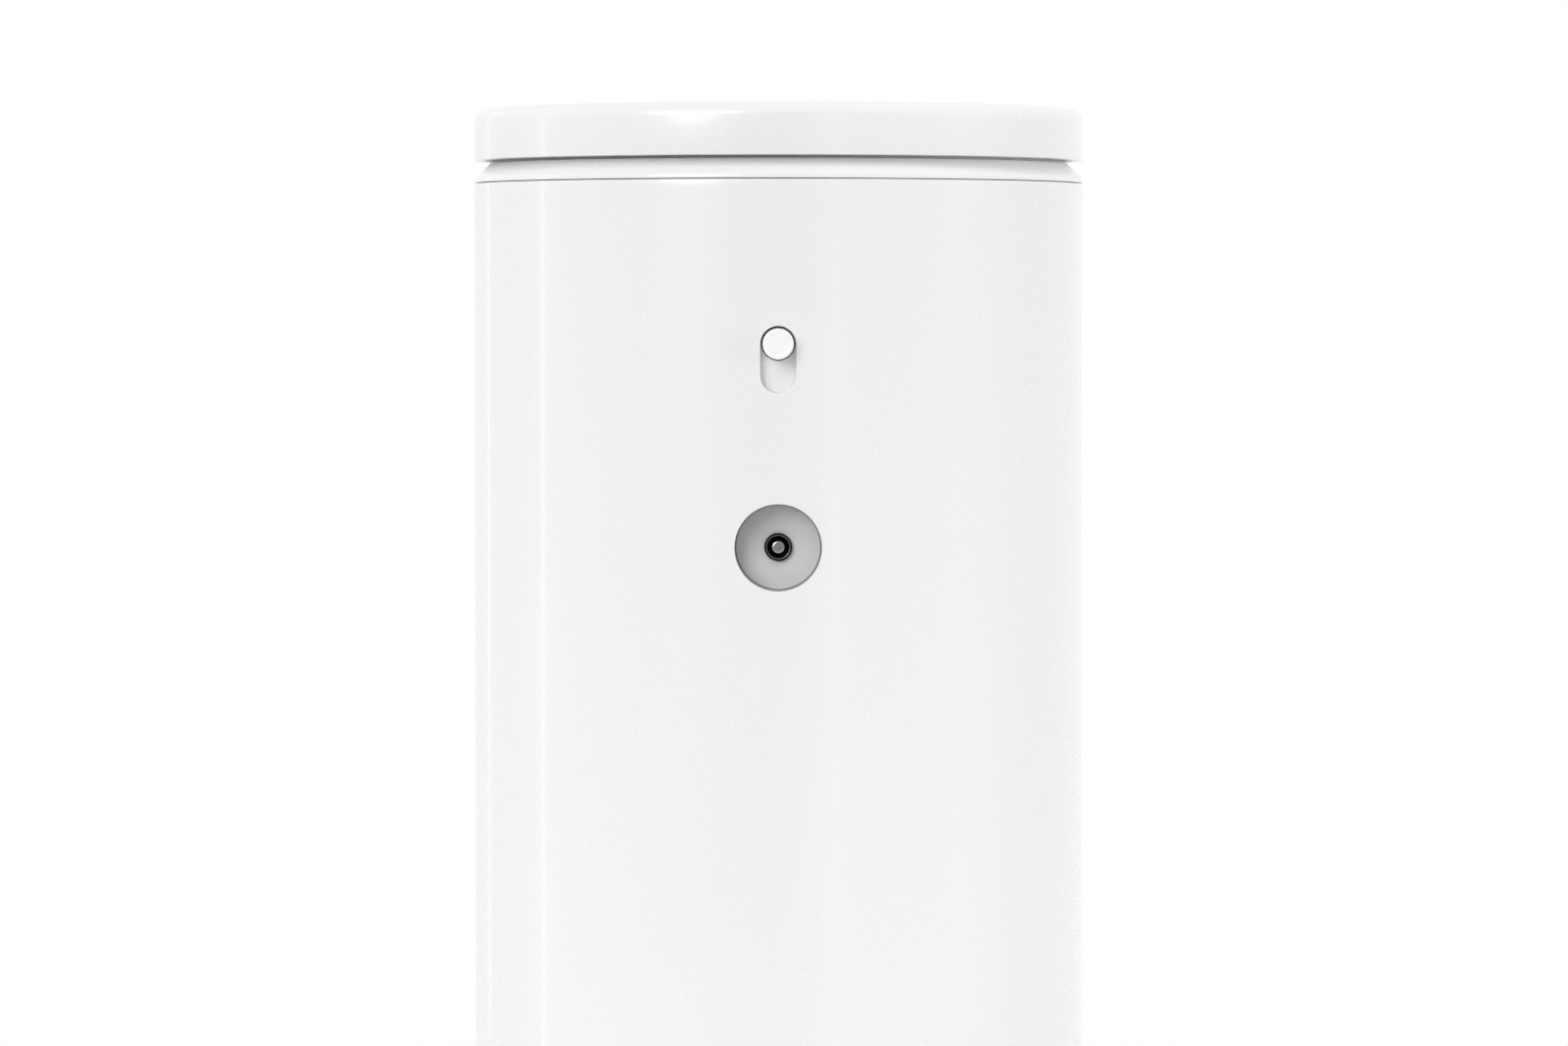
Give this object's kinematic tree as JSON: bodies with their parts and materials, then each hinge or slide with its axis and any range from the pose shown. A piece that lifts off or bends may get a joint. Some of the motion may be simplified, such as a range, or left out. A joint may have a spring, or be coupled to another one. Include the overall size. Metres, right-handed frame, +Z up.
{
  "type": "air purifier",
  "caption": "Upright cylindrical air purifier: slotted intake band, ducted fan, hanging cylindrical filter, lift-off lid with ring grille, rear slide switch and recessed power inlet.",
  "frame": {"origin": "centre of the foot ring on the floor plane, on the column's axis", "axes": "+Z up along the column's axis; -Y is the back, with the switch and the power inlet; +X is to the right of someone who looks at the back"},
  "size_m": [0.155, 0.158, 0.31],
  "materials": {
    "gloss_white": "gloss",
    "knob_white": "gloss",
    "cup_grey": "satin",
    "satin_white": "satin",
    "grey_plastic": "fine texture",
    "black_plastic": "satin",
    "rubber": "matte",
    "silicone": "matte",
    "cable_jacket": "satin",
    "steel": "bright",
    "ferrite": "matte",
    "copper": "enamelled wire",
    "circuit_board": "satin",
    "aluminium_can": "satin",
    "pleated_media": "fibrous",
    "carbon_media": "fibrous",
    "screen_mesh": "woven"
  },
  "bodies": {
    "housing": {"foot_ring": "rubber", "base_plate": "grey_plastic", "base_screws": "steel", "intake_cover": "gloss_white", "intake_screen": "screen_mesh", "body_shell": "gloss_white", "shoulder_ring": "gloss_white", "top_deck": "satin_white", "deck_screws": "steel", "slider_guide": "satin_white", "switch_body": "black_plastic", "inlet_well": "cup_grey", "jack_housing": "black_plastic", "jack_contact": "steel", "jack_pin": "steel", "control_board": "circuit_board", "board_posts": "grey_plastic", "board_screws": "steel", "capacitors": "aluminium_can", "chips": "black_plastic", "choke": "ferrite", "fan_plug": "black_plastic", "fan_deck": "satin_white", "inlet_cone": "satin_white", "fan_housing": "black_plastic", "fan_grommets": "rubber", "fan_screws": "steel", "stator_frame": "black_plastic", "motor_core": "steel", "motor_coils": "copper", "motor_board": "circuit_board", "lower_bearing": "steel", "upper_bearing": "steel", "fan_cable": "cable_jacket", "cable_grommet": "rubber", "filter_chamber": "satin_white", "filter_seat": "satin_white"},
    "slider": {"slider_knob": "knob_white", "slider_plate": "knob_white", "switch_stem": "black_plastic"},
    "rotor": {"impeller": "black_plastic", "rotor_cup": "steel", "magnet_ring": "ferrite", "shaft": "steel", "shaft_clip": "steel"},
    "lid": {"lid_cap": "gloss_white", "lid_frame": "satin_white", "lid_screws": "steel", "lid_seal": "silicone", "outlet_grille": "gloss_white"},
    "cartridge": {"filter_seal": "rubber", "core_tube": "grey_plastic", "carbon_sleeve": "carbon_media", "filter_pack": "pleated_media", "filter_bottom_cap": "grey_plastic", "filter_top_cap": "grey_plastic"}
  },
  "joints": [
    {"name": "switch_slide", "type": "slide", "parent": "housing", "child": "slider", "axis": [0, 0, -1], "range_m": [0, 0.0077]},
    {"name": "fan_spin", "type": "hinge", "parent": "housing", "child": "rotor", "pos_m": [0, 0, 0.08], "axis": [0, 0, -1], "continuous": true},
    {"name": "lid_lift", "type": "slide", "parent": "housing", "child": "lid", "axis": [0, 0, 1], "range_m": [0, 0.19]},
    {"name": "filter_twist", "type": "hinge", "parent": "lid", "child": "cartridge", "pos_m": [0, 0, 0.289], "axis": [0, 0, -1], "range_deg": [0, 40]}
  ]
}
